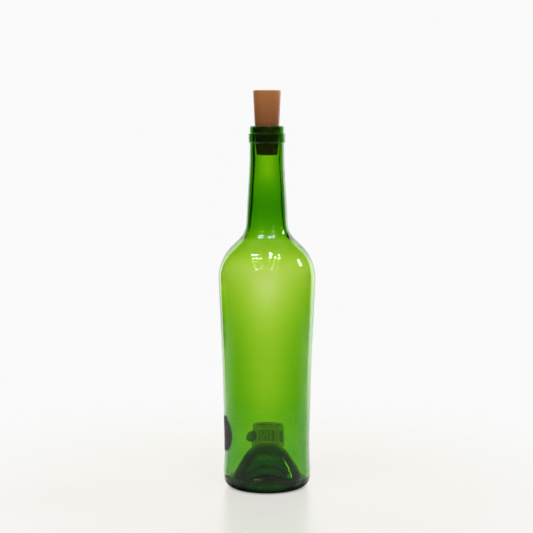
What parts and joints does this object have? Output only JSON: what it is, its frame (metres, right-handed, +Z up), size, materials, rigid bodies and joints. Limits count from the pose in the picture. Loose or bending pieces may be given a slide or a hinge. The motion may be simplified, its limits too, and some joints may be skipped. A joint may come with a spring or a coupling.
{
  "type": "wine bottle with tapered stopper",
  "caption": "Tall-shouldered green glass wine bottle with a domed base, a ringed mouth, a tapered push-in stopper and small paper stickers.",
  "frame": {"origin": "centre of the bearing ring, on the surface the bottle stands on", "axes": "+Z up along the bottle's axis; -Y is the front, and the barcode label is on the back, at +Y"},
  "size_m": [0.0804, 0.0804, 0.329],
  "materials": {
    "green_glass": "gloss",
    "stopper_rubber": "satin",
    "label_paper": "matte paper",
    "dot_paper": "matte paper",
    "round_paper": "matte paper"
  },
  "bodies": {
    "bottle": {"bottle": "green_glass", "barcode_label": "label_paper", "dot_sticker": "dot_paper", "round_sticker": "round_paper"},
    "stopper": {"stopper": "stopper_rubber"}
  },
  "joints": [
    {"name": "stopper_pull", "type": "slide", "parent": "bottle", "child": "stopper", "axis": [0, 0, 1], "range_m": [0, 0.06]}
  ]
}
